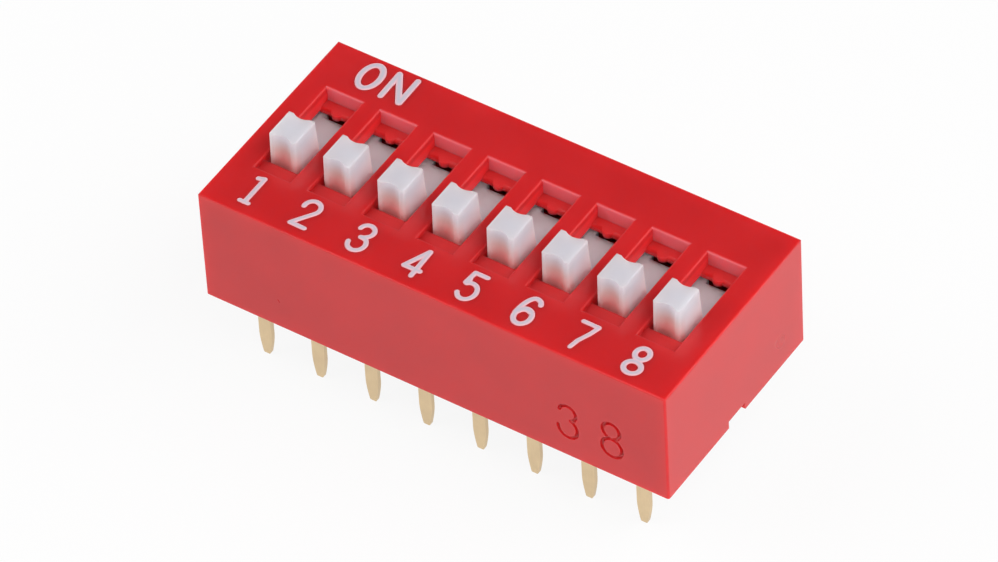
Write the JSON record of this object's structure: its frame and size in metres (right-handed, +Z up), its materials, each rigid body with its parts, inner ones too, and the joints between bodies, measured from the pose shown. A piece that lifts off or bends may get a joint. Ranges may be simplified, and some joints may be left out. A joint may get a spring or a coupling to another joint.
{
  "type": "dip switch",
  "caption": "Slide-type DIP switch with raised scalloped actuators in a moulded case, and two rows of through-hole pins.",
  "frame": {"origin": "centre of the pin field, on the seating plane where the rim of the case meets the board", "axes": "+X along the row of switches from the first to the last, +Y towards the ON side, +Z up out of the board"},
  "size_m": [0.0216, 0.01, 0.0103],
  "materials": {
    "cover_plastic": "satin red moulding",
    "base_plastic": "matt red moulding",
    "resin": "glossy dark resin",
    "slider_plastic": "satin white moulding",
    "contact_metal": "bright gold-plated spring strip",
    "terminal_metal": "satin pale gold plate"
  },
  "bodies": {
    "case": {"cover": "cover_plastic", "base": "base_plastic", "seal": "resin", "terminal_1": "terminal_metal", "terminal_2": "terminal_metal", "terminal_3": "terminal_metal", "terminal_4": "terminal_metal", "terminal_5": "terminal_metal", "terminal_6": "terminal_metal", "terminal_7": "terminal_metal", "terminal_8": "terminal_metal", "terminal_9": "terminal_metal", "terminal_10": "terminal_metal", "terminal_11": "terminal_metal", "terminal_12": "terminal_metal", "terminal_13": "terminal_metal", "terminal_14": "terminal_metal", "terminal_15": "terminal_metal", "terminal_16": "terminal_metal"},
    "switch_1": {"slider_1": "slider_plastic", "contact_1": "contact_metal"},
    "switch_2": {"slider_2": "slider_plastic", "contact_2": "contact_metal"},
    "switch_3": {"slider_3": "slider_plastic", "contact_3": "contact_metal"},
    "switch_4": {"slider_4": "slider_plastic", "contact_4": "contact_metal"},
    "switch_5": {"slider_5": "slider_plastic", "contact_5": "contact_metal"},
    "switch_6": {"slider_6": "slider_plastic", "contact_6": "contact_metal"},
    "switch_7": {"slider_7": "slider_plastic", "contact_7": "contact_metal"},
    "switch_8": {"slider_8": "slider_plastic", "contact_8": "contact_metal"}
  },
  "joints": [
    {"name": "switch_1_slide", "type": "slide", "parent": "case", "child": "switch_1", "axis": [0, 1, 0], "range_m": [0, 0.0021]},
    {"name": "switch_2_slide", "type": "slide", "parent": "case", "child": "switch_2", "axis": [0, 1, 0], "range_m": [0, 0.0021]},
    {"name": "switch_3_slide", "type": "slide", "parent": "case", "child": "switch_3", "axis": [0, 1, 0], "range_m": [0, 0.0021]},
    {"name": "switch_4_slide", "type": "slide", "parent": "case", "child": "switch_4", "axis": [0, 1, 0], "range_m": [0, 0.0021]},
    {"name": "switch_5_slide", "type": "slide", "parent": "case", "child": "switch_5", "axis": [0, 1, 0], "range_m": [0, 0.0021]},
    {"name": "switch_6_slide", "type": "slide", "parent": "case", "child": "switch_6", "axis": [0, 1, 0], "range_m": [0, 0.0021]},
    {"name": "switch_7_slide", "type": "slide", "parent": "case", "child": "switch_7", "axis": [0, 1, 0], "range_m": [0, 0.0021]},
    {"name": "switch_8_slide", "type": "slide", "parent": "case", "child": "switch_8", "axis": [0, 1, 0], "range_m": [0, 0.0021]}
  ]
}
